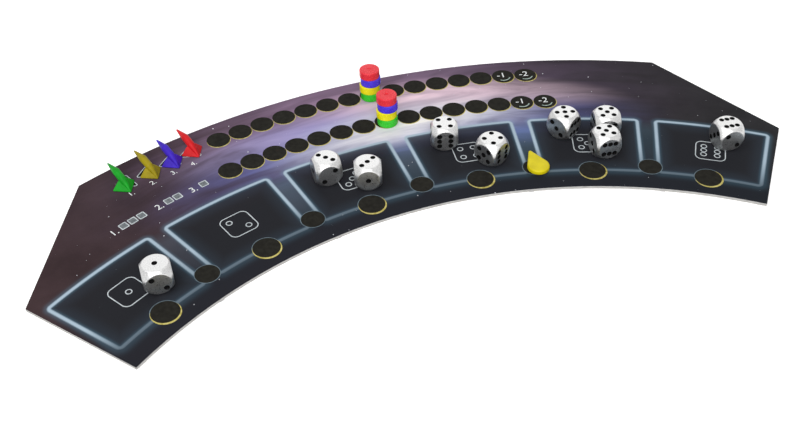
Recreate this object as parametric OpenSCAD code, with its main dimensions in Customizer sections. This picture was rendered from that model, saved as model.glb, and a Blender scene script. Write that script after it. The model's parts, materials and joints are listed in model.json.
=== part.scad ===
// Arc-shaped dice board of a strategy game, with the loose pieces that stand on it.
// Millimetres, +Z up. The origin lies under the middle of the board's outline, on the table.
// The board is drawn about the centre of its arcs: angles run from the middle line and are
// positive towards +X, and radii run from that centre out to the far edge.

/* [Board] */
// Radius of the outer arc
outer_r = 310; // [290:1:340]
// Radius of the inner arc
inner_r = 210; // [190:1:230]
// Half angle between the two straight end edges
end_angle = 39.4; // [36:0.1:43]
// Length of each straight end edge, from the inner arc to the slanted corner
end_edge_l = 57; // [45:1:70]
// Half angle at which the slanted corners leave the outer arc
corner_angle = 27.3; // [22:0.1:31]
// Thickness of the grey board core
core_t = 1.2; // [1:0.05:3]
// Thickness of the printed face paper
face_t = 0.15; // [0.1:0.01:0.4]
// Thickness of the backing paper
back_t = 0.15; // [0.1:0.01:0.4]

/* [Punch nubs] */
// Width of a nub left where the board was pushed out of its sheet
nub_w = 2.2; // [1:0.1:4]
// How far a nub stands out of the edge
nub_out = 0.3; // [0.1:0.05:0.8]
// Angle from the middle line to the inner pair of nubs on each arc
nub_angle = 6; // [3:0.5:9]
// Angle between the nubs along each arc
nub_step_angle = 15.5; // [12:0.5:18]

/* [Dice] */
// Width of a die across its flats
die_w = 12; // [8:0.5:19]
// Share of its width that the ball rounding off a die's corners takes as radius
die_round_share = 0.66; // [0.64:0.01:0.72]
// Width of the softened band round each flat
die_rim = 0.35; // [0.1:0.05:0.6]
// Diameter of a pip
pip_d = 2.3; // [1:0.1:2.4]
// Depth of a pip
pip_depth = 0.5; // [0.2:0.05:0.8]
// Distance from the middle of a face to its outer rows of pips
pip_row_off = 2.55; // [2.45:0.05:2.8]
// Distance from the inner arc to the middle of the dice zones
zone_inset = 30.6; // [24:0.2:36]

/* [Track discs] */
// Diameter of a disc
disc_d = 9.6; // [7:0.1:11]
// Height of a disc
disc_h = 4; // [3:0.1:6]
// Radius of a disc's rounded edges
disc_edge_r = 0.5; // [0.2:0.05:1]
// Diameter of the moulding mark in a disc's upper face
gate_d = 1.8; // [1:0.1:3]
// Depth of the moulding mark
gate_depth = 0.3; // [0.1:0.05:0.6]
// Distance from the outer arc to the middle of the upper stack
upper_inset = 14.1; // [10:0.1:17]
// Distance from the outer arc to the middle of the lower stack
lower_inset = 36.8; // [30:0.2:44]
// How far the upper stack lies off the middle line of the board
upper_shift = -0.7; // [-2:0.1:2]
// How far the lower stack lies off the middle line of the board
lower_shift = 0.3; // [-2:0.1:2]

/* [Dart pawns] */
// Length of a pawn from nose to tail
pawn_l = 17.6; // [14:0.1:20]
// Width of a pawn across its wing tips
pawn_span = 10.6; // [8:0.1:13]
// Height of a pawn's back above the board
pawn_h = 7.3; // [6:0.1:9]
// Width of a pawn's body
pawn_body_w = 3.4; // [3:0.1:4.4]
// Distance from the tail to the wing tips
pawn_tail_l = 5.9; // [5:0.1:7]
// Radius of the balls that round a pawn's edges
pawn_edge_r = 0.4; // [0.3:0.05:0.5]
// Clearance between the wing tips of two places in the row
pawn_gap = 0.6; // [0.5:0.1:2]
// Distance from the outer arc to the row's wing line
pawn_inset = 14.9; // [12:0.1:17]
// Angle from the middle line to the first place of the row
pawn_angle = 24.3; // [22:0.1:25]
// Turn of the row's places from straight outward
pawn_turn = 2; // [-4:1:8]

/* [Drop marker] */
// Diameter of the drop's round end
drop_d = 9.9; // [8:0.1:12]
// Length of the drop from round end to tip
drop_l = 15.8; // [13:0.1:19]
// Thickness of the drop
drop_h = 2.4; // [2:0.1:5]
// Radius of the drop's rounded edges
drop_edge_r = 0.8; // [0.5:0.05:1]
// Distance from the inner arc to the middle of the drop's round end
drop_inset = 13.5; // [11:0.5:18]
// How far the drop lies off the middle of its mark, across the board
drop_shift = 1.5; // [-2:0.1:2]
// Turn of the drop from straight outward
drop_turn = 10; // [-15:1:15]

/* [Hidden] */
zone_count = 6;
zone_pitch = 2 * end_angle / zone_count;
board_t = back_t + core_t + face_t;
corner_r = inner_r + end_edge_l;
// Middle of the outline from front to back, between the inner corners and the outer arc
mid_y = (outer_r + inner_r * cos(end_angle)) / 2;
// How far a nub is rooted in the core
nub_root = nub_w / 2;
arc_fn = 240;

colours = ["green", "yellow", "blue", "red"];
paint = ["#1fa433", "#e6d51c", "#3a2fd0", "#e3242b"];

// Dice: name, zone counted from the left, place in the zone in die widths across and outward,
// turn of the front face, face on top and face in front
dice = [
    ["die_one", 1, 0.82, -0.57, -33, 1, 2],
    ["die_three_a", 3, -0.83, 0.4, -7, 3, 2],
    ["die_three_b", 3, 0.42, -0.5, -21, 3, 1],
    ["die_four_a", 4, -0.77, 0.7, -9, 4, 6],
    ["die_four_b", 4, 0.72, -0.63, -54, 4, 5],
    ["die_five_a", 5, -0.87, 0.65, -40, 5, 3],
    ["die_five_b", 5, 0.73, 0.64, 5, 5, 4],
    ["die_five_c", 5, 0.53, -0.54, 14, 5, 6],
    ["die_six", 6, 0.5, 0.57, 26, 6, 2]
];

// Track stacks: name, distance from the outer arc and shift across
tracks = [["upper", upper_inset, upper_shift], ["lower", lower_inset, lower_shift]];
// How far each disc lies off the middle of its stack, across and outward, in disc diameters
disc_offsets = [[0.01, -0.01], [-0.03, 0.01], [0.03, 0], [-0.01, 0.01]];
// How far each pawn lies off its place in the row, across and outward, in pawn spans
pawn_offsets = [[-0.19, 0.02], [0.03, 0], [0.03, 0.03], [0, 0.16]];
// Each pawn's own turn
pawn_turns = [-3, 0, 0, 2];

function disc_name(track, k) = str(tracks[track][0], "_disc_", colours[k]);
function pawn_name(k) = str("pawn_", colours[k]);

disc_nodes = [for (t = [0 : 1], k = [0 : 3]) disc_name(t, k)];
pawn_nodes = [for (k = [0 : 3]) pawn_name(k)];

// A point on the board plane, by radius and angle
function polar(r, a) = [r * sin(a), r * cos(a)];

// Places children at a radius and angle on the board, with their +Y pointing outward
module on_board(r, a, z = board_t) {
    translate([0, -mid_y, 0])
        rotate(-a)
            translate([0, r, z])
                children();
}

// Plan of the die-cut board: a ring between the two arcs, cut by the end edges and corners
module board_outline() {
    low = polar(corner_r, end_angle);
    high = polar(outer_r, corner_angle);
    // The slanted cut runs on past the outer arc
    past = high + 0.5 * (high - low);
    intersection() {
        difference() {
            circle(r = outer_r, $fn = arc_fn);
            circle(r = inner_r, $fn = arc_fn);
        }
        polygon([
            [0, 0],
            low,
            past,
            [0, 2 * outer_r],
            [-past.x, past.y],
            [-low.x, low.y]
        ]);
    }
}

// One layer of the board, from its underside up
module board_layer(z, t) {
    translate([0, -mid_y, z])
        linear_extrude(t)
            board_outline();
}

// Torn stub of board on an edge of the core; way is 1 on the outer arc and -1 on the inner
module punch_nub(r, a, way) {
    on_board(r, a, back_t)
        translate([-nub_w / 2, way > 0 ? -nub_root : -nub_out, 0])
            cube([nub_w, nub_root + nub_out, core_t]);
}

module board_core() {
    color("#a9a7a3") {
        board_layer(back_t, core_t);
        for (side = [-1, 1], k = [0, 1]) {
            punch_nub(outer_r, side * (nub_angle + k * nub_step_angle), 1);
            punch_nub(inner_r, side * (2 * nub_angle + k * nub_step_angle), -1);
        }
    }
}

module face_sheet() {
    color("#443c46")
        board_layer(back_t + core_t, face_t);
}

module back_sheet() {
    color("#dcdad6")
        board_layer(0, back_t);
}

// Die geometry: a ball cut by three barrels, one along each axis, whose flat ends are the faces
die_ball_r = die_round_share * die_w;
die_flat_r = sqrt(pow(die_ball_r, 2) - pow(die_w / 2, 2));
// The band round a flat halves the angle between the flat and the ball
die_rim_slope = asin(die_flat_r / die_ball_r) / 2;
pip_ball_r = (pow(pip_d / 2, 2) + pow(pip_depth, 2)) / (2 * pip_depth);
pip_lift = die_w / 2 - pip_depth + pip_ball_r;
row = pip_row_off;

// Middles of the balls that sink the pips; opposite faces add up to seven
pip_spots = concat(
    [[pip_lift, 0, 0]],
    [for (s = [-1, 1]) [s * row, pip_lift, -s * row]],
    [for (s = [-1 : 1]) [s * row, -s * row, pip_lift]],
    [for (s = [-1, 1], t = [-1, 1]) [s * row, t * row, -pip_lift]],
    [for (s = [-1, 1], t = [-1, 1]) [s * row, -pip_lift, t * row]],
    [[0, -pip_lift, 0]],
    [for (s = [-1, 1], t = [-1 : 1]) [-pip_lift, s * row, t * row]]
);

// Directions of the faces one to six on an unturned die
face_ways = [[1, 0, 0], [0, 1, 0], [0, 0, 1], [0, 0, -1], [0, -1, 0], [-1, 0, 0]];

// Slab of the die's width with its two flats, each falling away in the softened rim
module die_barrel() {
    flat = die_flat_r - die_rim / 2;
    reach = 1.1 * die_ball_r - flat;
    rotate_extrude($fn = 96)
        polygon([
            [0, -die_w / 2],
            [flat, -die_w / 2],
            [flat + reach, -die_w / 2 + reach * tan(die_rim_slope)],
            [flat + reach, die_w / 2 - reach * tan(die_rim_slope)],
            [flat, die_w / 2],
            [0, die_w / 2]
        ]);
}

module die_solid() {
    difference() {
        intersection() {
            sphere(r = die_ball_r, $fn = 96);
            die_barrel();
            rotate([90, 0, 0])
                die_barrel();
            rotate([0, 90, 0])
                die_barrel();
        }
        for (spot = pip_spots)
            translate(spot)
                sphere(r = pip_ball_r, $fn = 32);
    }
}

// A die on its zone, turned so that the named faces are on top and in front
module die(d) {
    up = face_ways[d[5] - 1];
    front = face_ways[d[6] - 1];
    side = cross(up, front);
    color("#c9cacb")
        on_board(inner_r + zone_inset, (d[1] - (zone_count + 1) / 2) * zone_pitch)
            translate([d[2] * die_w, d[3] * die_w, die_w / 2])
                rotate(d[4])
                    multmatrix([
                        [side.x, side.y, side.z, 0],
                        [-front.x, -front.y, -front.z, 0],
                        [up.x, up.y, up.z, 0],
                        [0, 0, 0, 1]
                    ])
                        die_solid();
}

// Half section of a disc, with rounded edges and the moulding mark on top
module disc_section() {
    rim = disc_d / 2;
    difference() {
        union() {
            square([rim - disc_edge_r, disc_h]);
            translate([0, disc_edge_r])
                square([rim, disc_h - 2 * disc_edge_r]);
            for (z = [disc_edge_r, disc_h - disc_edge_r])
                translate([rim - disc_edge_r, z])
                    circle(r = disc_edge_r, $fn = 32);
        }
        translate([-gate_d / 2, disc_h - gate_depth])
            square([gate_d, 2 * gate_depth]);
    }
}

// A disc of a track's stack; k counts up from the board
module disc(track, k) {
    color(paint[k])
        on_board(outer_r - tracks[track][1], 0, board_t + k * disc_h)
            translate(disc_d * disc_offsets[k] + [tracks[track][2], 0])
                rotate_extrude($fn = 96)
                    disc_section();
}

// A ball at a point of the pawn, the unit of its rounded edges
module pawn_ball(p, r = pawn_edge_r) {
    translate(p)
        sphere(r = r, $fn = 20);
}

// Angle of a pawn's place in the row, counted from the left
function pawn_row_angle(k) =
    -pawn_angle + k * (pawn_span + pawn_gap) / (outer_r - pawn_inset) * 180 / PI;

// Dart-shaped pawn, with its wing line at the origin and its nose along +Y
module pawn(k) {
    e = pawn_edge_r;
    body_r = pawn_body_w / 2;
    nose = [0, pawn_l - pawn_tail_l - e, pawn_h - body_r + e];
    back = [0, nose.y * 0.4, pawn_h - body_r];
    hip = [0, 0, pawn_h * 0.57];
    stern = [0, -pawn_tail_l * 0.55, pawn_h / 3];
    tail = [0, e - pawn_tail_l, e];
    keel = [0, nose.y / 4, e];
    color(paint[k])
        on_board(outer_r - pawn_inset, pawn_row_angle(k))
            translate(pawn_span * pawn_offsets[k])
                rotate(pawn_turn + pawn_turns[k]) {
                    // Slender body, drawn out to the raised nose
                    hull() {
                        pawn_ball(nose);
                        pawn_ball(back, body_r);
                        pawn_ball(hip, body_r);
                    }
                    // Rear of the body, falling in a ridge to the tail
                    hull() {
                        pawn_ball(hip, body_r);
                        pawn_ball(stern, body_r * 0.6);
                        pawn_ball(tail);
                    }
                    // Wings, a tent bent down from the body to the tips on the board
                    hull() {
                        pawn_ball([0, 0, pawn_h * 0.52]);
                        pawn_ball(tail);
                        pawn_ball(keel);
                        for (side = [-1, 1]) {
                            pawn_ball([side * pawn_span * 0.19, 0, pawn_h * 0.47]);
                            pawn_ball([side * (pawn_span / 2 - e), 0, e]);
                        }
                    }
                }
}

// Rounded edges of a puck that stands on its flat, by the radius of that flat
module drop_puck(flat_r) {
    for (z = [drop_edge_r, drop_h - drop_edge_r])
        translate([0, 0, z])
            rotate_extrude($fn = 64)
                translate([flat_r, 0])
                    intersection() {
                        circle(r = drop_edge_r, $fn = 24);
                        translate([0, -drop_edge_r])
                            square(2 * drop_edge_r);
                    }
}

// Drop-shaped marker, on the mark between the fourth and the fifth zone
module drop_marker() {
    tip_flat_r = drop_edge_r / 10;
    color("#e8dc2a")
        on_board(inner_r + drop_inset, zone_pitch)
            translate([drop_shift, 0, 0])
                rotate(drop_turn)
                    hull() {
                        drop_puck(drop_d / 2 - drop_edge_r);
                        translate([0, drop_l - drop_d / 2 - drop_edge_r - tip_flat_r, 0])
                            drop_puck(tip_flat_r);
                    }
}

board_core();
face_sheet();
back_sheet();
for (d = dice)
    die(d);
for (t = [0 : 1], k = [0 : 3])
    disc(t, k);
for (k = [0 : 3])
    pawn(k);
drop_marker();
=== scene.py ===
"""Dice board of a strategy game, with its dice, track discs, dart pawns and drop marker.

Lengths are in millimetres until a mesh is made. A place on the board is a radius from the centre
of its arcs and an angle in degrees from its middle line, positive to the right.
"""
import json
import math

import bmesh
import bpy
import numpy as np
from mathutils import Matrix, Vector

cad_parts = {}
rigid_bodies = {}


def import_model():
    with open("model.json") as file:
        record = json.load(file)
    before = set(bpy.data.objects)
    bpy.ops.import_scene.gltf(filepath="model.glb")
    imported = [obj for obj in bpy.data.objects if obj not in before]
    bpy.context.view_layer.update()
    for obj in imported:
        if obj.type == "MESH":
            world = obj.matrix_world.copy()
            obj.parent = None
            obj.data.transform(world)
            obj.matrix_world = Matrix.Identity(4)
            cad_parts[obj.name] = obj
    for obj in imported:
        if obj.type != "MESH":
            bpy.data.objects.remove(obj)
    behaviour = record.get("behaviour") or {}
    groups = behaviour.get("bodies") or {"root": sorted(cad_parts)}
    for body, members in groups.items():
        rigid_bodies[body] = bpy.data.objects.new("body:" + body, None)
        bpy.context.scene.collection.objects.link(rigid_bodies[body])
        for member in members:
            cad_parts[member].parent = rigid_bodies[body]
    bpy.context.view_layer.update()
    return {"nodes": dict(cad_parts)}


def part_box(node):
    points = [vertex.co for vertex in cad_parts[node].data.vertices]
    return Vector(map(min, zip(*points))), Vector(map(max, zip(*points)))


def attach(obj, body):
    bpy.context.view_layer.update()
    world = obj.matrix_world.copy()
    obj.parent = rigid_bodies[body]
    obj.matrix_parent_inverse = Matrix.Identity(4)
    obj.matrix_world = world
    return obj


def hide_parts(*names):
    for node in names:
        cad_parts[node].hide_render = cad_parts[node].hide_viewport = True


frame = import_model()
nodes = frame["nodes"]


# Board core: grey board 1.2 mm thick, pressed from waste paper in many plies and punched out of a
# larger sheet by a steel rule. Its cut edge is raw fibre, with torn stubs where it was last held.
MM = 0.001
PLY_T = 0.22
FIBRE_L = 2.5
FIBRE_RELIEF = 0.05


def linear(code):
    """sRGB hex to linear light: about a thirteenth below the knee, a power of 2.4 above it."""
    srgb = [int(code[i:i + 2], 16) / 255 for i in (1, 3, 5)]
    return [c / 12.92 if c <= 0.04045 else ((c + 0.055) / 1.055) ** 2.4 for c in srgb] + [1.0]


def feed(tree, node, feeds):
    """Sets inputs of a node, each to a plain value or by a link from a socket or another node."""
    free = [socket for socket in node.inputs if socket.enabled]
    for key, value in feeds.items():
        target = free[key] if isinstance(key, int) else next(s for s in free if s.name == key)
        if isinstance(value, bpy.types.Node):
            value = next(s for s in value.outputs if s.enabled)
        if isinstance(value, bpy.types.NodeSocket):
            tree.links.new(value, target)
        else:
            target.default_value = value


def add(tree, kind, feeds=None, stops=(), **settings):
    """Adds one shader node, with its settings, its inputs and the stops of its colour ramp."""
    node = tree.nodes.new("ShaderNode" + kind)
    for key, value in settings.items():
        setattr(node, key, value)
    feed(tree, node, feeds or {})
    while stops and len(node.color_ramp.elements) < len(stops):
        node.color_ramp.elements.new(1.0)
    for number, (position, code) in enumerate(stops):
        node.color_ramp.elements[number].position = position
        node.color_ramp.elements[number].color = linear(code)
    return node


def new_finish(name, **sockets):
    """A material with one principled shader. Sockets that stay the same all over are set here."""
    finish = bpy.data.materials.new(name)
    finish.use_nodes = True
    shader = finish.node_tree.nodes["Principled BSDF"]
    for key, value in sockets.items():
        shader.inputs[key.replace("_", " ")].default_value = value
    return finish, finish.node_tree, shader


def dress(node, finish):
    """Gives a CAD node its finish."""
    nodes[node].data.materials.clear()
    nodes[node].data.materials.append(finish)


# Raw fibre is dull from every side, and its plies show as faint level streaks: noise squeezed to
# one ply in height and drawn out to a fibre in length
greyboard, tree, shader = new_finish("cut_greyboard", Roughness=0.92, IOR=1.4)
place = add(tree, "TexCoord").outputs["Object"]
ply_scale = (1 / (FIBRE_L * MM), 1 / (FIBRE_L * MM), 1 / (PLY_T * MM))
plies = add(tree, "Mapping", {"Vector": place, "Scale": ply_scale})
fibre = add(tree, "TexNoise", {"Vector": plies, "Scale": 1.0, "Detail": 4.0})
tone = add(tree, "ValToRGB", {"Fac": fibre}, [(0.3, "#908e8c"), (0.65, "#b6b5b3")])
bump = add(tree, "Bump", {"Height": fibre, "Strength": 0.4, "Distance": FIBRE_RELIEF * MM})
feed(tree, shader, {"Base Color": tone, "Normal": bump})
dress("board_core", greyboard)


# Backing paper: a plain uncoated liner of wood pulp, 0.15 mm thick, glued under the core so that
# the board stays flat when the face paper pulls.
PULP_L = 6.0
TOOTH_L = 0.25
TOOTH_RELIEF = 0.03
GRAIN_LOW, GRAIN_HIGH = 0.3, 0.7  # the noise of a grain seldom passes these
GRAIN_STRENGTH = 0.3
GLOSS_LEAST, GLOSS_MOST = 0.85, 1.15


def mottled(name, dark, pale, patch_l, grain_l, roughness, relief, **sockets):
    """A finish whose colour drifts between two tones over patches of one length, while a finer
    grain varies its gloss, by a share of the roughness, and its level, by the relief."""
    finish, tree, shader = new_finish(name, **sockets)
    place = add(tree, "TexCoord").outputs["Object"]
    patches = add(tree, "TexNoise", {"Vector": place, "Scale": 1 / (patch_l * MM), "Detail": 4.0})
    grain = add(tree, "TexNoise", {"Vector": place, "Scale": 1 / (grain_l * MM), "Detail": 3.0})
    tone = add(tree, "ValToRGB", {"Fac": patches}, [(0.35, dark), (0.65, pale)])
    gloss = add(tree, "MapRange", {"Value": grain, "From Min": GRAIN_LOW, "From Max": GRAIN_HIGH,
                                   "To Min": GLOSS_LEAST * roughness,
                                   "To Max": GLOSS_MOST * roughness})
    bump = add(tree, "Bump", {"Height": grain, "Strength": GRAIN_STRENGTH, "Distance": relief * MM})
    feed(tree, shader, {"Base Color": tone, "Roughness": gloss, "Normal": bump})
    return finish


# Uncoated paper has no shine. Loose pulp clouds its white, and its tooth is drawn coarser than the
# real one, so that it shows.
liner = mottled("uncoated_liner_paper", "#dfdcd6", "#efeeeb", PULP_L, TOOTH_L, 0.88, TOOTH_RELIEF,
                IOR=1.4)
dress("back_sheet", liner)


# Face paper: coated paper, 0.15 mm thick and glued on the core, printed with soft ribbons of light
# that follow the arc over a charcoal ground, and with six framed panels where the dice are put.
OUTER_R = 310.0
END_ANGLE = 39.4
ZONES = 6
ZONE_PITCH = 2 * END_ANGLE / ZONES
ZONE_IN_R = 221.2
ZONE_OUT_R = 259.6
ZONE_HALF_ANGLE = 5.63
FRAME_CORNER_R = 1.6
face_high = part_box("face_sheet")[1] / MM
arc_y = face_high.y - OUTER_R

# A thin matt varnish takes nearly all shine from the print, so that its inks stay deep from every
# side
print_paper, tree, shader = new_finish("matt_varnished_print", IOR=1.4, Specular_IOR_Level=0.02)
place = add(tree, "TexCoord").outputs["Object"]
from_centre = add(tree, "Mapping", {"Vector": place, "Location": (0, -arc_y, 0),
                                    "Scale": (1 / MM, 1 / MM, 0)})
radius = add(tree, "VectorMath", {0: from_centre}, operation="LENGTH")
axes = add(tree, "SeparateXYZ", {0: from_centre})
angle = add(tree, "Math", {0: axes.outputs["X"], 1: axes.outputs["Y"]}, operation="ARCTAN2")
degrees = add(tree, "Math", {0: angle}, operation="DEGREES")

# Distance from the frame of the nearest panel, below zero inside it. Across and along are how far a
# point lies past the panel's sides and past its two arcs; at a corner they count as one distance.
turns = add(tree, "Math", {0: degrees, 1: ZONE_PITCH}, operation="DIVIDE")
part = add(tree, "Math", {0: turns}, operation="FRACT")
off_middle = add(tree, "Math", {0: part, 1: 0.5}, operation="SUBTRACT")
off_size = add(tree, "Math", {0: off_middle}, operation="ABSOLUTE")
past_side = add(tree, "Math", {0: off_size, 1: ZONE_HALF_ANGLE / ZONE_PITCH}, operation="SUBTRACT")
side_arc = add(tree, "Math", {0: past_side, 1: math.radians(ZONE_PITCH)}, operation="MULTIPLY")
across = add(tree, "Math", {0: side_arc, 1: radius}, operation="MULTIPLY")
off_depth = add(tree, "Math", {0: radius, 1: (ZONE_IN_R + ZONE_OUT_R) / 2}, operation="SUBTRACT")
depth = add(tree, "Math", {0: off_depth}, operation="ABSOLUTE")
along = add(tree, "Math", {0: depth, 1: (ZONE_OUT_R - ZONE_IN_R) / 2}, operation="SUBTRACT")
corner = add(tree, "CombineXYZ", {"X": across, "Y": along})
shrunk = add(tree, "VectorMath", {0: corner, 1: (FRAME_CORNER_R, FRAME_CORNER_R, 0)},
             operation="ADD")
outside = add(tree, "VectorMath", {0: shrunk, 1: (0, 0, 0)}, operation="MAXIMUM")
outside_gap = add(tree, "VectorMath", {0: outside}, operation="LENGTH")
inside = add(tree, "Math", {0: across, 1: along}, operation="MAXIMUM")
inside_gap = add(tree, "Math", {0: inside, 1: -FRAME_CORNER_R}, operation="MINIMUM")
gap = add(tree, "Math", {0: outside_gap, 1: inside_gap}, operation="ADD")
gap_size = add(tree, "Math", {0: gap}, operation="ABSOLUTE")

# Ground: warm at the left end, cooler at the right, with the mottle of the ink, and falling into a
# dusk towards the inner edge
GROUND_INKS = [(0.0, "#3b2e30"), (0.3, "#3a2f33"), (0.6, "#312c30"), (1.0, "#2b2b2d")]
MOTTLE_L = 26.0
MOTTLE_LEAST, MOTTLE_MOST = 0.7, 1.35
DUSK_INK = "#202329"
DUSK_R = ZONE_IN_R - 4
DUSK_W = 44.0
DUSK_STRENGTH = 0.9
end_share = add(tree, "MapRange", {"Value": degrees, "From Min": -END_ANGLE, "From Max": END_ANGLE})
ground = add(tree, "ValToRGB", {"Fac": end_share}, GROUND_INKS)
mottle = add(tree, "TexNoise", {"Vector": from_centre, "Scale": 1 / MOTTLE_L, "Detail": 6.0,
                                "Roughness": 0.6})
shade = add(tree, "MapRange", {"Value": mottle, "From Min": 0.25, "From Max": 0.75,
                               "To Min": MOTTLE_LEAST, "To Max": MOTTLE_MOST})
print_tone = add(tree, "Mix", {"Factor": 1.0, "A": ground, "B": shade},
                 data_type="RGBA", blend_type="MULTIPLY")
dusk = add(tree, "MapRange", {"Value": radius, "From Min": DUSK_R, "From Max": DUSK_R + DUSK_W,
                              "To Min": DUSK_STRENGTH, "To Max": 0.0})
print_tone = add(tree, "Mix", {"Factor": dusk, "A": print_tone, "B": linear(DUSK_INK)},
                 data_type="RGBA")

# Ribbons of light: each sways about its own radius as a sine of the angle, fades to both sides and
# to both ends, and is drawn out into streaks along the arc
STREAK_L = 55.0
STREAK_W = 9.0
STREAK_R = 275.0
STREAK_LEAST, STREAK_MOST = 0.35, 1.15
RIBBON_REACH = 1.15
# Ribbons: radius, sway, waves in a turn, phase, half width, middle angle, half angle, strength, ink
RIBBONS = [
    (285.0, 3.0, 7.0, 0.4, 50.0, 0.0, 31.0, 0.85, "#5f5066"),
    (300.0, 4.0, 6.0, 0.5, 20.0, -4.0, 22.0, 0.80, "#947a94"),
    (268.0, 5.0, 6.0, 2.6, 26.0, 1.0, 25.0, 0.85, "#7a88d6"),
    (285.0, 4.0, 9.0, 0.0, 13.0, -12.0, 10.0, 0.75, "#a79cc2"),
    (284.0, 7.0, 5.0, 2.0, 15.0, 7.0, 16.5, 1.00, "#edd0dc"),
    (266.0, 4.0, 6.0, 1.2, 18.0, 2.0, 15.5, 1.05, "#efece8"),
]
streak_x = add(tree, "Math", {0: angle, 1: STREAK_R / STREAK_L}, operation="MULTIPLY")
streak_y = add(tree, "Math", {0: radius, 1: STREAK_W}, operation="DIVIDE")
streak_place = add(tree, "CombineXYZ", {"X": streak_x, "Y": streak_y})
streaks = add(tree, "TexNoise", {"Vector": streak_place, "Scale": 1.0, "Detail": 5.0,
                                 "Roughness": 0.55, "Distortion": 0.8})
streak_light = add(tree, "MapRange", {"Value": streaks, "From Min": 0.3, "From Max": 0.68,
                                      "To Min": STREAK_LEAST, "To Max": STREAK_MOST})
for base_r, sway, waves, phase, half_w, middle, half_angle, strength, tint in RIBBONS:
    swing = add(tree, "Math", {0: angle, 1: waves, 2: phase}, operation="MULTIPLY_ADD")
    sine = add(tree, "Math", {0: swing}, operation="SINE")
    path = add(tree, "Math", {0: sine, 1: sway, 2: base_r}, operation="MULTIPLY_ADD")
    off_path = add(tree, "Math", {0: radius, 1: path}, operation="SUBTRACT")
    off_side = add(tree, "Math", {0: off_path, 1: half_w}, operation="DIVIDE")
    off_end = add(tree, "MapRange", {"Value": degrees, "From Min": middle,
                                     "From Max": middle + half_angle}, clamp=False)
    off = add(tree, "CombineXYZ", {"X": off_side, "Y": off_end})
    off_all = add(tree, "VectorMath", {0: off}, operation="LENGTH")
    fall = add(tree, "MapRange", {"Value": off_all, "From Max": RIBBON_REACH,
                                  "To Min": strength, "To Max": 0.0},
               interpolation_type="SMOOTHSTEP")
    light = add(tree, "Math", {0: fall, 1: streak_light}, operation="MULTIPLY", use_clamp=True)
    print_tone = add(tree, "Mix", {"Factor": light, "A": print_tone, "B": linear(tint)},
                     data_type="RGBA")

# Specks of light, each in its own cell and of its own size; the power makes large ones rare
SPECK_STEP = 11.0
SPECK_R = 0.22
SPECK_POWER = 3.0
SPECK_INK = "#d9dbe2"
cells = add(tree, "TexVoronoi", {"Vector": from_centre, "Scale": 1 / SPECK_STEP},
            voronoi_dimensions="2D")
speck_share = add(tree, "Math", {0: cells.outputs["Color"], 1: SPECK_POWER}, operation="POWER")
speck_size = add(tree, "Math", {0: speck_share, 1: 2 * SPECK_R / SPECK_STEP}, operation="MULTIPLY")
in_speck = add(tree, "Math", {0: cells.outputs["Distance"], 1: speck_size}, operation="LESS_THAN")
print_tone = add(tree, "Mix", {"Factor": in_speck, "A": print_tone, "B": linear(SPECK_INK)},
                 data_type="RGBA")

# Panels lie over the ground, let a little of it through near their outer arc, and are bluer along
# their frames
PANEL_INK = "#242529"
PANEL_EDGE_INK = "#2c323a"
PANEL_EDGE_W = 9.0
PANEL_SOFT = 0.3
PANEL_FADE_W = 14.0
PANEL_COVER, PANEL_OUTER_COVER = 0.97, 0.88
cover = add(tree, "MapRange", {"Value": radius, "From Min": ZONE_OUT_R - PANEL_FADE_W,
                               "From Max": ZONE_OUT_R, "To Min": PANEL_COVER,
                               "To Max": PANEL_OUTER_COVER})
in_frame = add(tree, "MapRange", {"Value": gap, "From Min": -PANEL_SOFT, "From Max": PANEL_SOFT,
                                  "To Min": 1.0, "To Max": 0.0})
in_panel = add(tree, "Math", {0: in_frame, 1: cover}, operation="MULTIPLY")
panel_depth = add(tree, "MapRange", {"Value": gap_size, "From Max": PANEL_EDGE_W},
                  interpolation_type="SMOOTHSTEP")
panel = add(tree, "ValToRGB", {"Fac": panel_depth}, [(0.0, PANEL_EDGE_INK), (1.0, PANEL_INK)])
print_tone = add(tree, "Mix", {"Factor": in_panel, "A": print_tone, "B": panel}, data_type="RGBA")

# The frames glow to both sides, and the glow widens and weakens into a mist at the inner edge
GLOW_INK = "#2f4855"
GLOW_OUT_W = 5.0
GLOW_IN_W = 3.6
GLOW_POWER = 2.5
SIDE_SOFT = 0.1
MIST_W = 7.5
MIST_FADE_W = 10.0
MIST_STRENGTH = 0.5
spread = add(tree, "MapRange", {"Value": radius, "From Min": ZONE_IN_R,
                                "From Max": ZONE_IN_R + MIST_FADE_W,
                                "To Min": MIST_W, "To Max": GLOW_OUT_W})
glow_w = add(tree, "MapRange", {"Value": gap, "From Min": -SIDE_SOFT, "From Max": SIDE_SOFT,
                                "To Min": GLOW_IN_W, "To Max": spread})
glow_off = add(tree, "Math", {0: gap_size, 1: glow_w}, operation="DIVIDE")
glow_fall = add(tree, "MapRange", {"Value": glow_off, "To Min": 1.0, "To Max": 0.0},
                interpolation_type="SMOOTHERSTEP")
glow_shape = add(tree, "Math", {0: glow_fall, 1: GLOW_POWER}, operation="POWER")
glow_fade = add(tree, "MapRange", {"Value": radius, "From Min": ZONE_IN_R,
                                   "From Max": ZONE_IN_R + MIST_FADE_W,
                                   "To Min": MIST_STRENGTH, "To Max": 1.0})
frame_glow = add(tree, "Math", {0: glow_shape, 1: glow_fade}, operation="MULTIPLY")

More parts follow.
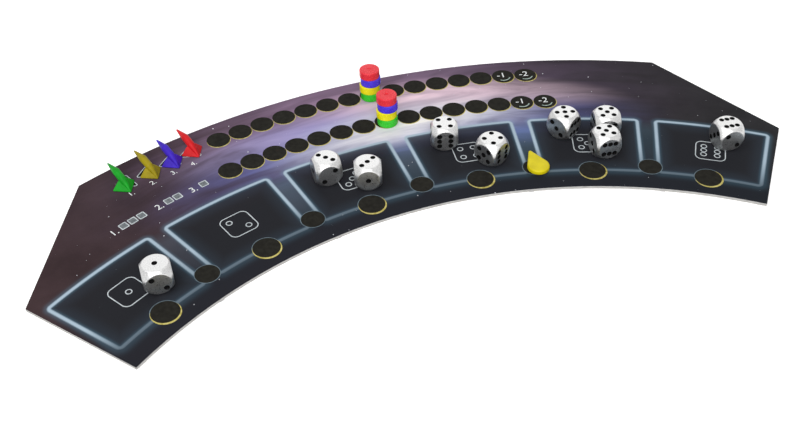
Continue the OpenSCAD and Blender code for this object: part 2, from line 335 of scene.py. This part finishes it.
# A haze of the same ink fills the gaps between the panels, thinner inward and towards both ends
HAZE_INNER, HAZE_OUTER = 0.2, 1.15
HAZE_FADE_W = 8.0
turn_size = add(tree, "Math", {0: degrees}, operation="ABSOLUTE")
haze_depth = add(tree, "MapRange", {"Value": radius, "From Min": ZONE_IN_R, "From Max": ZONE_OUT_R,
                                    "To Min": HAZE_INNER, "To Max": HAZE_OUTER})
haze_share = add(tree, "MapRange", {"Value": turn_size, "From Min": ZONE_PITCH,
                                    "From Max": END_ANGLE, "To Min": haze_depth, "To Max": 0.0})
haze_fade = add(tree, "MapRange", {"Value": along, "From Min": -HAZE_FADE_W, "From Max": 0.0,
                                   "To Min": haze_share, "To Max": 0.0})
haze = add(tree, "MapRange", {"Value": gap, "From Min": -SIDE_SOFT, "From Max": SIDE_SOFT,
                              "To Min": 0.0, "To Max": haze_fade})
glow = add(tree, "Math", {0: frame_glow, 1: haze}, operation="MAXIMUM")
print_tone = add(tree, "Mix", {"Factor": glow, "A": print_tone, "B": linear(GLOW_INK)},
                 data_type="RGBA", blend_type="SCREEN")

# The line of the frames, with soft edges, fades towards the inner edge
FRAME_INK = "#a2b4c2"
FRAME_LINE_W = 1.4
LINE_FULL_SHARE, LINE_END_SHARE = 0.2, 0.85
LINE_FADE_W = 18.0
LINE_INNER_STRENGTH = 0.22
line_edge = add(tree, "MapRange", {"Value": gap_size, "From Min": LINE_FULL_SHARE * FRAME_LINE_W,
                                   "From Max": LINE_END_SHARE * FRAME_LINE_W,
                                   "To Min": 1.0, "To Max": 0.0}, interpolation_type="SMOOTHSTEP")
line_fade = add(tree, "MapRange", {"Value": radius, "From Min": ZONE_IN_R,
                                   "From Max": ZONE_IN_R + LINE_FADE_W,
                                   "To Min": LINE_INNER_STRENGTH, "To Max": 1.0})
line = add(tree, "Math", {0: line_edge, 1: line_fade}, operation="MULTIPLY")
print_tone = add(tree, "Mix", {"Factor": line, "A": print_tone, "B": linear(FRAME_INK)},
                 data_type="RGBA")

# The varnish follows the tooth of the paper, drawn coarser than the real one so that it shows
VARNISH_GRAIN_L = 0.4
VARNISH_RELIEF = 0.02
tooth = add(tree, "TexNoise", {"Vector": from_centre, "Scale": 1 / VARNISH_GRAIN_L, "Detail": 3.0})
gloss = add(tree, "MapRange", {"Value": tooth, "From Min": GRAIN_LOW, "From Max": GRAIN_HIGH,
                               "To Min": 0.48, "To Max": 0.62})
bump = add(tree, "Bump", {"Height": tooth, "Strength": GRAIN_STRENGTH,
                          "Distance": VARNISH_RELIEF * MM})
feed(tree, shader, {"Base Color": print_tone, "Roughness": gloss, "Normal": bump})
dress("face_sheet", print_paper)


# Track spaces: two rows of fifteen printed spots, 11 mm across, that all but touch. Each is a black
# spot over a gold one that lies a little nearer the front, so that gold shows as a crescent.
TRACKS = [(297.6, 2.157), (274.4, 2.329)]  # radius of a row, and angle from space to space
SPACES = 15
SPACE_R = 5.45
GOLD_R = 5.55
GOLD_SHIFT = (0.05, -0.42)
INK_T = 0.012


def ink(name, dark, pale, blot_l, roughness=0.5, **sockets):
    """Printing ink with blots of a given length, under the same matt varnish as the paper."""
    return mottled(name, dark, pale, blot_l, VARNISH_GRAIN_L, roughness, VARNISH_RELIEF,
                   Specular_IOR_Level=0.02, **sockets)


def row_angles(count, pitch):
    """Angles of so many places in a row, evenly spread about the middle line."""
    return (np.arange(count) - (count - 1) / 2) * pitch


def outline(corners, apothem, corner_r, turn=0.0, steps=60):
    """Regular polygon with round corners, as points in order. Each corner is an arc about a point
    on the corner's own direction; with a radius equal to the apothem it is a circle."""
    half = math.pi / corners
    count = steps // corners
    way = math.radians(turn) + 2 * half * np.arange(corners)[:, None]
    arc = way + half * ((2 * np.arange(count) + 1) / count - 1)
    reach = (apothem - corner_r) / math.cos(half)
    x = reach * np.cos(way) + corner_r * np.cos(arc)
    y = reach * np.sin(way) + corner_r * np.sin(arc)
    return np.stack([x, y], -1).reshape(-1, 2)


def circle(r):
    """A circle: the outline whose one corner is all arc."""
    return outline(1, r, r)


def on_board(plan, radius, angle):
    """Turns a plan about the vertical until its +Y points outward, and moves it to a place."""
    a = math.radians(angle)
    x, y = plan[..., 0], plan[..., 1] + radius
    right = x * math.cos(a) + y * math.sin(a)
    ahead = y * math.cos(a) - x * math.sin(a) + arc_y
    return np.stack([right, ahead], -1)


def skin(rings, looped=False):
    """Closed surface over rings of points, with a quad between each two neighbours on following
    rings. The last ring joins the first, or else both end rings are filled."""
    steps, count = rings.shape[:2]
    row = np.arange(steps if looped else steps - 1)[:, None]
    column = np.arange(count)
    after = (column + 1) % count
    above = (row + 1) % steps * count
    quads = np.stack([row * count + column, row * count + after, above + after, above + column], -1)
    caps = np.stack([column[::-1], (steps - 1) * count + column])
    return rings.reshape(-1, 3), [quads.reshape(-1, 4)] + ([] if looped else [caps])


def ink_layer(layers, outer, inner=None):
    """Flat ink on the paper, so many layers high: a prism, or a band where it has an inner edge."""
    low, high = face_high.z - INK_T, face_high.z + layers * INK_T
    plans = [(outer, low), (outer, high)]
    if inner is not None:
        plans += [(inner, high), (inner, low)]
    rings = np.array([np.c_[plan, np.full(len(plan), z)] for plan, z in plans])
    return skin(rings, looped=inner is not None)


def make_piece(name, surfaces, finish, body="board", smooth=False):
    """Joins closed surfaces, each its points and its faces, into one piece that rides on a body."""
    starts = np.cumsum([0] + [len(points) for points, _ in surfaces])
    blocks = [block + start for (_, some), start in zip(surfaces, starts) for block in some]
    points = np.concatenate([points for points, _ in surfaces]) * MM
    mesh = bpy.data.meshes.new(name)
    mesh.from_pydata(points, [], [face for block in blocks for face in block.tolist()])
    mesh.polygons.foreach_set("use_smooth", np.full(len(mesh.polygons), smooth))
    mesh.materials.append(finish)
    piece = bpy.data.objects.new(name, mesh)
    bpy.context.scene.collection.objects.link(piece)
    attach(piece, body)
    return piece


# The black is a little warm against the bluish panels. The gold holds some metal, and wanders from
# olive to pale yellow.
black_ink = ink("black_spot_ink", "#201f1c", "#282723", 2.0, 0.6)
gold_ink = ink("gold_ink", "#9c9046", "#c8bc76", 1.5, 0.45, Metallic=0.2)
spaces = [(row_r, a) for row_r, pitch in TRACKS for a in row_angles(SPACES, pitch)]
make_piece("track_gold", [ink_layer(1, on_board(circle(GOLD_R), *spot) + GOLD_SHIFT)
                          for spot in spaces], gold_ink)
make_piece("track_black", [ink_layer(2, on_board(circle(SPACE_R), *spot)) for spot in spaces],
           black_ink)


# Zone spots: a larger black spot with a gold crescent on the inner edge of each panel, and between
# the panels a smaller one. A thin ring is printed round each of them.
ZONE_SPOT_PLACE_R = 221.0
ZONE_SPOT_PITCH = 13.03
ZONE_SPOT_TURN = 0.1
ZONE_SPOT_R = 5.85
ZONE_GOLD_R = 6.15
ZONE_GOLD_SHIFT = (0.1, -0.6)
GAP_SPOT_PLACE_R = 224.75
GAP_SPOT_R = 5.1
SPOT_RING_W = 0.3
zone_spots = [(ZONE_SPOT_PLACE_R, a + ZONE_SPOT_TURN) for a in row_angles(ZONES, ZONE_SPOT_PITCH)]
gap_spots = [(GAP_SPOT_PLACE_R, a) for a in row_angles(ZONES - 1, ZONE_PITCH)]
spots = [(ZONE_SPOT_R, spot) for spot in zone_spots] + [(GAP_SPOT_R, spot) for spot in gap_spots]
# The rings are a dim blue that just parts the spots from the panels
ring_ink = ink("dim_blue_ink", "#56646c", "#6e7d86", 4.0)
make_piece("spot_rings", [ink_layer(1, on_board(circle(r + SPOT_RING_W), *spot),
                                    on_board(circle(r), *spot)) for r, spot in spots], ring_ink)
make_piece("zone_gold", [ink_layer(2, on_board(circle(ZONE_GOLD_R), *spot) + ZONE_GOLD_SHIFT)
                         for spot in zone_spots], gold_ink)
make_piece("zone_black", [ink_layer(3, on_board(circle(r), *spot)) for r, spot in spots], black_ink)


# Die marks: on each panel the outline of a die face 13.5 mm wide, with rings for its pips, printed
# in a thin pale line.
MARK_R = 240.6
MARK_HALF_W = 6.75
MARK_CORNER_R = 3.0
MARK_LINE_W = 0.42
MARK_STEP = 3.0
MARK_RING_R = 1.45
# Pips of each mark, in steps to the right and outward
MARK_PIPS = [
    [(0, 0)],
    [(-1, 1), (1, -1)],
    [(-1, -1), (0, 0), (1, 1)],
    [(-1, 1), (1, 1), (-1, -1), (1, -1)],
    [(-1, 1), (1, 1), (0, 0), (-1, -1), (1, -1)],
    [(-1, 1), (1, 1), (-1, 0), (1, 0), (-1, -1), (1, -1)],
]
# Pale grey with a touch of blue, even and matt
line_ink = ink("pale_line_ink", "#b0b8bc", "#c8ced1", 3.0)
zone_angles = row_angles(ZONES, ZONE_PITCH)
mark_edge = outline(4, MARK_HALF_W, MARK_CORNER_R, 45)
mark_inner = outline(4, MARK_HALF_W - MARK_LINE_W, MARK_CORNER_R - MARK_LINE_W, 45)
ring_edge = circle(MARK_RING_R)
ring_inner = circle(MARK_RING_R - MARK_LINE_W)
mark_bands = [(mark_edge, mark_inner, a) for a in zone_angles]
mark_bands += [(ring_edge + shift, ring_inner + shift, a) for a, pips in zip(zone_angles, MARK_PIPS)
               for shift in np.multiply(MARK_STEP, pips)]
make_piece("die_marks", [ink_layer(1, on_board(edge, MARK_R, a), on_board(inner, MARK_R, a))
                         for edge, inner, a in mark_bands], line_ink)


# Pawn places: four black triangles printed in a row at the left, 11 mm a side with round corners,
# in a thin pale outline.
SLOT_R = 296.7
SLOT_ANGLES = (-24.35, -22.15, -19.95, -17.95)
SLOT_APOTHEM = 3.25
SLOT_CORNER_R = 0.9
SLOT_LINE_W = 0.4
slot_edge = outline(3, SLOT_APOTHEM, SLOT_CORNER_R, 180)
slot_inner = outline(3, SLOT_APOTHEM - SLOT_LINE_W, SLOT_CORNER_R - SLOT_LINE_W, 180)
slots = [(on_board(slot_edge, SLOT_R, a), on_board(slot_inner, SLOT_R, a)) for a in SLOT_ANGLES]
make_piece("slot_black", [ink_layer(1, inner) for _, inner in slots], black_ink)
make_piece("slot_lines", [ink_layer(1, edge, inner) for edge, inner in slots], line_ink)


# Numerals and blocks: plain white numerals printed by the pawn places, in the row under them and on
# the last two spaces of each track, with an arc under these. Framed blocks follow the row's.
last_spaces = [(k + 1, row_r, a) for row_r, pitch in TRACKS
               for k, a in enumerate(row_angles(SPACES, pitch)[-2:])]
# Numerals: the word, the height of its digits, and its place
NUMERALS = [(f"{k + 1}.", 2.7, 288.6, a) for k, a in enumerate((-24.8, -22.6, -20.5, -18.5))]
NUMERALS += [(f"{k + 1}.", 3.5, 272.6, a) for k, a in enumerate((-28.8, -24.0, -20.4))]
NUMERALS += [(f"-{k}", 4.0, row_r + 0.9, a - 0.15) for k, row_r, a in last_spaces]
DIGIT_SHARE = 0.7  # height of a digit, of the size that the typeface is set in
WELD_GAP = 1e-4
ARC_R = 3.5
ARC_W = 0.45
ARC_FROM, ARC_TO = -120, -20
ARC_STEPS = 25
BLOCK_R = 273.3
BLOCK_HALF_W = 1.9
BLOCK_LINE_W = 0.45
BLOCK_CORNER_R, BLOCK_FILL_CORNER_R = 0.5, 0.2
BLOCK_ROWS = ((-27.7, 3), (-22.95, 2), (-19.25, 1))  # angle of the first block, and their count
BLOCK_PITCH = 0.95


def glyphs(words, height, radius, angle):
    """A word in the plain built-in face, as a closed slab of ink with its middle at a place."""
    curve = bpy.data.curves.new("word", "FONT")
    curve.body = words
    curve.size = height / DIGIT_SHARE
    curve.align_x = "CENTER"
    curve.align_y = "CENTER"
    curve.extrude = INK_T
    holder = bpy.data.objects.new("word", curve)
    shape = bmesh.new()
    shape.from_mesh(holder.to_mesh())
    bmesh.ops.remove_doubles(shape, verts=shape.verts, dist=WELD_GAP)
    bmesh.ops.triangulate(shape, faces=shape.faces)
    mesh = bpy.data.meshes.new("word")
    shape.to_mesh(mesh)
    shape.free()
    points = np.empty(len(mesh.vertices) * 3)
    mesh.vertices.foreach_get("co", points)
    points = points.reshape(-1, 3)
    corners = np.empty(len(mesh.polygons) * 3, int)
    mesh.polygons.foreach_get("vertices", corners)
    for block in (holder, curve, mesh):
        bpy.data.batch_remove([block])
    level = points[:, 2] + (face_high.z + 2 * INK_T)
    return np.c_[on_board(points[:, :2], radius, angle), level], [corners.reshape(-1, 3)]


def stroke(path, pen_w, layers):
    """Ink along a path on the board: at each point a flat cross-section of the pen's width, square
    to the path."""
    way = np.gradient(path, axis=0)
    side = np.stack([-way[:, 1], way[:, 0]], -1) / np.linalg.norm(way, axis=1)[:, None] * pen_w / 2
    low, high = (np.full(len(path), z) for z in (face_high.z - INK_T, face_high.z + layers * INK_T))
    edges = [(path - side, low), (path + side, low), (path + side, high), (path - side, high)]
    return skin(np.stack([np.c_[plan, z] for plan, z in edges], 1))


# White is the brightest ink of the print. Pale green parts the arcs from the numerals, and a middle
# grey lets the blocks' pale frames show.
white_ink = ink("white_ink", "#d4d9d9", "#eceeee", 1.5)
green_ink = ink("pale_green_ink", "#9fb3aa", "#bccdc5", 1.5)
grey_ink = ink("grey_block_ink", "#5f6468", "#787d80", 1.2)
make_piece("numerals", [glyphs(*numeral) for numeral in NUMERALS], white_ink)
arc_way = np.radians(np.linspace(ARC_FROM, ARC_TO, ARC_STEPS))
arc = ARC_R * np.stack([np.cos(arc_way), np.sin(arc_way)], -1)
make_piece("arcs", [stroke(on_board(arc, row_r, a), ARC_W, 3) for _, row_r, a in last_spaces],
           green_ink)
block_edge = outline(4, BLOCK_HALF_W, BLOCK_CORNER_R, 45)
block_inner = outline(4, BLOCK_HALF_W - BLOCK_LINE_W, BLOCK_FILL_CORNER_R, 45)
block_angles = [start + k * BLOCK_PITCH for start, count in BLOCK_ROWS for k in range(count)]
blocks = [(on_board(block_edge, BLOCK_R, a), on_board(block_inner, BLOCK_R, a))
          for a in block_angles]
make_piece("block_fills", [ink_layer(1, inner) for _, inner in blocks], grey_ink)
make_piece("block_lines", [ink_layer(1, edge, inner) for edge, inner in blocks], line_ink)


# Dice: nine moulded dice of pearl silver plastic, 12 mm across their flats, tumbled until the
# corners are ball-shaped. Black paint fills the sunk pips, 2.3 mm across.
DIE_W = 12.0
PIP_D = 2.3
PIP_DEPTH = 0.5
PIP_STEP = 2.55
PIP_RINGS = 8
PIP_SIDES = 28
PIP_HUB_SHARE = 0.05
PAINT_T = 0.12
PAINT_LIP = 0.01
PEARL_L = 0.5
PEARL_RELIEF = 0.02
# Dice: name, zone counted from the left, turn of the front face, face on top and face in front
DICE = [
    ("die_one", 1, -33, 1, 2),
    ("die_three_a", 3, -7, 3, 2),
    ("die_three_b", 3, -21, 3, 1),
    ("die_four_a", 4, -9, 4, 6),
    ("die_four_b", 4, -54, 4, 5),
    ("die_five_a", 5, -40, 5, 3),
    ("die_five_b", 5, 5, 5, 4),
    ("die_five_c", 5, 14, 5, 6),
    ("die_six", 6, 26, 6, 2),
]
# Directions of the faces one to six, and the pips: their face, and their place on it in pip steps
FACE_WAYS = np.array([[1, 0, 0], [0, 1, 0], [0, 0, 1], [0, 0, -1], [0, -1, 0], [-1, 0, 0]])
PIPS = np.array(
    [(1, 0, 0, 0)]
    + [(2, s, 0, -s) for s in (-1, 1)]
    + [(3, s, -s, 0) for s in (-1, 0, 1)]
    + [(4, s, t, 0) for s in (-1, 1) for t in (-1, 1)]
    + [(5, s, 0, t) for s in (-1, 1) for t in (-1, 1)] + [(5, 0, 0, 0)]
    + [(6, 0, s, t) for s in (-1, 1) for t in (-1, 0, 1)])


def pip_paint_lenses(centre, turn, top, front):
    """Paint in a die's pips. Each is a lens between two bowls through the pip's rim, one buried and
    one bare, whose depth falls off with the square of the distance from the pip's axis."""
    share = np.linspace(PIP_HUB_SHARE, 1, PIP_RINGS)
    bowl = 1 - share ** 2
    buried, bare = (PIP_DEPTH + PAINT_T) * bowl, (PIP_DEPTH - PAINT_T) * bowl - PAINT_LIP
    ring_r = np.r_[share, share[::-1]][:, None] * PIP_D / 2
    depth = np.r_[buried, bare[::-1]][:, None]
    way = np.linspace(0, 2 * math.pi, PIP_SIDES, endpoint=False)
    lathe = np.stack(np.broadcast_arrays(ring_r * np.cos(way), ring_r * np.sin(way), -depth), -1)
    up, ahead = FACE_WAYS[top - 1], FACE_WAYS[front - 1]
    a = math.radians(turn)
    spin = np.array([[math.cos(a), -math.sin(a), 0], [math.sin(a), math.cos(a), 0], [0, 0, 1]])
    pose = spin @ np.array([np.cross(up, ahead), -ahead, up])
    ways = FACE_WAYS[PIPS[:, 0] - 1]
    sides = np.roll(ways, 1, axis=1)
    bases = np.stack([sides, np.cross(ways, sides), ways], 1)
    places = ways * DIE_W / 2 + PIPS[:, 1:] * PIP_STEP
    return [skin((lathe @ base + spot) @ pose.T + centre) for base, spot in zip(bases, places)]


# Pearl pigment mirrors what is round the die, the white above and the dark board below, with a soft
# cloudy grain; its flakes are drawn far coarser than real ones, so that they show. The paint is a
# dead black without shine.
pearl = mottled("pearl_silver_plastic", "#c2c2c2", "#d8d8d7", PEARL_L, PEARL_L, 0.31, PEARL_RELIEF,
                Metallic=0.97)
pip_paint = ink("black_pip_paint", "#080808", "#121212", 1.0, 0.45)
for name, zone, turn, top, front in DICE:
    dress(name, pearl)
    low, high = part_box(name)
    centre = np.array((low + high) / 2) / MM
    lenses = pip_paint_lenses(centre, turn - zone_angles[zone - 1], top, front)
    make_piece(f"{name}_pips", lenses, pip_paint, name, smooth=True)


# Track discs: eight discs moulded in tinted clear plastic, 9.6 mm across and 4 mm high, in two
# stacks of four colours. A sunk mark shows where the plastic flowed in.
PIGMENT_L = 5.0
SCUFF_L = 0.6
SCUFF_RELIEF = 0.01
DISC_TINTS = {"green": ("#30c828", "#44d83a"), "yellow": ("#f8e80c", "#fff420"),
              "blue": ("#4a34e0", "#5c48f0"), "red": ("#f0303c", "#f8404c")}


def moulded(name, deep, bright, roughness, **sockets):
    """Coloured plastic: a slow drift of the pigment, and scuffs in the polish, drawn coarser than
    the finest real ones so that they show."""
    return mottled(name, deep, bright, PIGMENT_L, SCUFF_L, roughness, SCUFF_RELIEF,
                   IOR=1.45, Specular_IOR_Level=0.2, **sockets)


# Tinted clear plastic is bright and even, and lets some light through
for colour, (deep, bright) in DISC_TINTS.items():
    tinted = moulded(f"tinted_clear_plastic_{colour}", deep, bright, 0.25, Transmission_Weight=0.2)
    dress(f"upper_disc_{colour}", tinted)
    dress(f"lower_disc_{colour}", tinted)


# Dart pawns: four small moulded darts, 17.6 mm long and 10.6 mm across, with a raised nose and
# drooping wings that stand on the board. They are satin styrene, with edges rounded by the mould.
PAWN_L = 17.6
PAWN_SPAN = 10.6
PAWN_H = 7.3
PAWN_BODY_R = 1.7
PAWN_TAIL_L = 5.9
PAWN_EDGE_R = 0.4
PAWN_TURN = 2.0
PAWN_GAP = 0.6
PAWN_ROW_R = 295.1
PAWN_ROW_ANGLE = -24.3
# Pawns: colour, shift across and outward from its place in spans, own turn, and two tones
PAWNS = [
    ("green", -0.19, 0.02, -3, "#0a8218", "#109620"),
    ("yellow", 0.03, 0.0, 0, "#847606", "#96860c"),
    ("blue", 0.03, 0.03, 0, "#32189c", "#3c22b6"),
    ("red", 0.0, 0.16, 2, "#b81218", "#cc1c22"),
]


def wrap(balls, turns=96, rises=49):
    """Tight wrap round some balls: for each direction, over a grid of turns about the vertical and
    of rises from almost straight down to almost straight up, the point of the ball that reaches
    farthest that way."""
    centres, radii = np.array([b[:3] for b in balls]), np.array([b[3] for b in balls])
    turn = np.linspace(0, 2 * math.pi, turns, endpoint=False)
    rise = np.radians(np.linspace(-89, 89, rises))[:, None]
    x, y, z = np.cos(rise) * np.cos(turn), np.cos(rise) * np.sin(turn), np.sin(rise)
    way = np.stack(np.broadcast_arrays(x, y, z), -1)
    farthest = (way @ centres.T + radii).argmax(-1)
    return centres[farthest] + radii[farthest][..., None] * way


def stand(form, turn, shift, radius, angle):
    """Skin of a form, turned about its upright axis, shifted, and stood on the paper at a place."""
    a = math.radians(turn)
    spin = np.array([[math.cos(a), math.sin(a)], [-math.sin(a), math.cos(a)]])
    plan = on_board(form[..., :2] @ spin + shift, radius, angle)
    return skin(np.concatenate([plan, form[..., 2:] + face_high.z], -1))


# Balls: place across, along and up, and radius, as shares of the pawn's own sizes. The waist is a
# little thinner than the hip, so that the skins of body and stern don't lie on each other.
nose = (0, PAWN_L - PAWN_TAIL_L - PAWN_EDGE_R, PAWN_H - PAWN_BODY_R + PAWN_EDGE_R, PAWN_EDGE_R)
back = (0, 0.4 * nose[1], PAWN_H - PAWN_BODY_R, PAWN_BODY_R)
hip = (0, 0, 0.57 * PAWN_H, PAWN_BODY_R)
waist = (*hip[:3], 0.98 * PAWN_BODY_R)
stern = (0, -0.55 * PAWN_TAIL_L, PAWN_H / 3, 0.6 * PAWN_BODY_R)
tail = (0, PAWN_EDGE_R - PAWN_TAIL_L, PAWN_EDGE_R, PAWN_EDGE_R)
keel = (0, nose[1] / 4, PAWN_EDGE_R, PAWN_EDGE_R)
apex = (0, 0, 0.52 * PAWN_H, PAWN_EDGE_R)
bends = [(side * 0.19 * PAWN_SPAN, 0, 0.47 * PAWN_H, PAWN_EDGE_R) for side in (-1, 1)]
tips = [(side * (PAWN_SPAN / 2 - PAWN_EDGE_R), 0, PAWN_EDGE_R, PAWN_EDGE_R) for side in (-1, 1)]
pawn_forms = [wrap([nose, back, hip]), wrap([waist, stern, tail]),
              wrap([apex, tail, keel] + bends + tips)]

# Satin styrene shows one plain deep colour with a broad soft sheen
for k, (colour, across_row, out, own_turn, deep, bright) in enumerate(PAWNS):
    place_angle = PAWN_ROW_ANGLE + k * math.degrees((PAWN_SPAN + PAWN_GAP) / PAWN_ROW_R)
    shift = (across_row * PAWN_SPAN, out * PAWN_SPAN)
    surfaces = [stand(form, PAWN_TURN + own_turn, shift, PAWN_ROW_R, place_angle)
                for form in pawn_forms]
    styrene = moulded(f"satin_styrene_{colour}", deep, bright, 0.45)
    dart = make_piece(f"dart_{colour}", surfaces, styrene, f"pawn_{colour}",
                      smooth=True)
    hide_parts(f"pawn_{colour}")


# Drop marker: a flat drop moulded in styrene, 15.8 mm long and 2.4 mm thick, its edges well
# rounded. It lies loose on the spot between the fourth and the fifth panel.
DROP_D = 9.9
DROP_L = 15.8
DROP_H = 2.4
DROP_EDGE_R = 0.8
DROP_R = 223.5
DROP_SHIFT = (1.5, 0)
DROP_TURN = 10.0
DROP_SIDES = 96
rim_way = np.linspace(0, 2 * math.pi, DROP_SIDES, endpoint=False)
rim_r = DROP_D / 2 - DROP_EDGE_R
tip_y = DROP_L - DROP_D / 2 - DROP_EDGE_R
rim = np.c_[np.r_[rim_r * np.cos(rim_way), 0], np.r_[rim_r * np.sin(rim_way), tip_y]]
drop_form = wrap([(x, y, z, DROP_EDGE_R) for x, y in rim
                  for z in (DROP_EDGE_R, DROP_H - DROP_EDGE_R)])
# Polished styrene: a full yellow under a thin clear shine
polished = moulded("polished_styrene_drop", "#c4b404", "#d2c20a", 0.5,
                   Coat_Weight=0.15, Coat_Roughness=0.12)
drop = make_piece("drop", [stand(drop_form, DROP_TURN, DROP_SHIFT, DROP_R, ZONE_PITCH)],
                  polished, "drop_marker", smooth=True)
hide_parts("drop_marker")


# Stage: a pale floor that keeps the object's shadow, a key lamp overhead, a fill from the front
# left and a weak soft box behind. The camera stands where the photograph was taken.
CAMERA_PLACE = Vector((-118.2, -336.1, 287.9))
CAMERA_AIM = Vector((-16.2, -28.2, 1.5))
CAMERA_ROLL = -1.095
CAMERA_LENS = 46.19
CAMERA_NEAR = 10.0
FLOOR_HALF = 600.0
FLOOR_Z = -0.3
FLOOR_LIFT = 0.35
WORLD_LIGHT = 0.45
LAMPS = [  # name, place, width and watts
    ("key", (-500, -100, 1200), 700, 4.5),
    ("fill", (-300, -700, 500), 800, 7.0),
    ("soft_box", (350, 940, 830), 1200, 2.3),
]
WHITE = (1, 1, 1, 1)


def seen_as_white(tree):
    """One for rays from the camera, from mirrors and through clear plastic, which see the white
    background, and nought for those that light the object: the greatest of three signs."""
    ray = add(tree, "LightPath").outputs
    seen = add(tree, "Math", {0: ray["Is Camera Ray"], 1: ray["Is Glossy Ray"]},
               operation="MAXIMUM")
    return add(tree, "Math", {0: seen, 1: ray["Is Transmission Ray"]}, operation="MAXIMUM")


camera = bpy.data.objects.new("camera", bpy.data.cameras.new("camera"))
bpy.context.scene.collection.objects.link(camera)
camera.data.lens = CAMERA_LENS
camera.data.clip_start = CAMERA_NEAR * MM
look = (CAMERA_AIM - CAMERA_PLACE).to_track_quat("-Z", "Y").to_matrix().to_4x4()
roll = Matrix.Rotation(math.radians(CAMERA_ROLL), 4, "Z")
camera.matrix_world = Matrix.Translation(CAMERA_PLACE * MM) @ look @ roll
bpy.context.scene.camera = camera

floor_mesh = bpy.data.meshes.new("floor")
floor_corners = np.array([[-1, -1], [1, -1], [1, 1], [-1, 1]]) * FLOOR_HALF
floor_mesh.from_pydata(np.c_[floor_corners, np.full(4, FLOOR_Z)] * MM, [], [(0, 1, 2, 3)])
floor = bpy.data.objects.new("floor", floor_mesh)
bpy.context.scene.collection.objects.link(floor)
# A matt white card that the lift brings up to a clean white, with the shadow still in it
floor_paint, tree, shader = new_finish("pale_floor", Base_Color=linear("#f4f4f4"), Roughness=0.9)
lift = add(tree, "Math", {0: seen_as_white(tree), 1: FLOOR_LIFT}, operation="MULTIPLY")
feed(tree, shader, {"Emission Strength": lift, "Emission Color": WHITE})
floor_mesh.materials.append(floor_paint)

world = bpy.data.worlds.new("studio")
bpy.context.scene.world = world
world.use_nodes = True
tree = world.node_tree
level = add(tree, "MapRange", {"Value": seen_as_white(tree), "To Min": WORLD_LIGHT, "To Max": 1.0})
feed(tree, tree.nodes["Background"], {"Strength": level, "Color": WHITE})

for name, spot, size, power in LAMPS:
    lamp = bpy.data.objects.new(name, bpy.data.lights.new(name, "AREA"))
    bpy.context.scene.collection.objects.link(lamp)
    lamp.data.size = size * MM
    lamp.data.energy = power
    lamp.location = Vector(spot) * MM
    lamp.rotation_euler = (-Vector(spot)).to_track_quat("-Z", "Y").to_euler()

bpy.context.scene.view_settings.view_transform = "Standard"
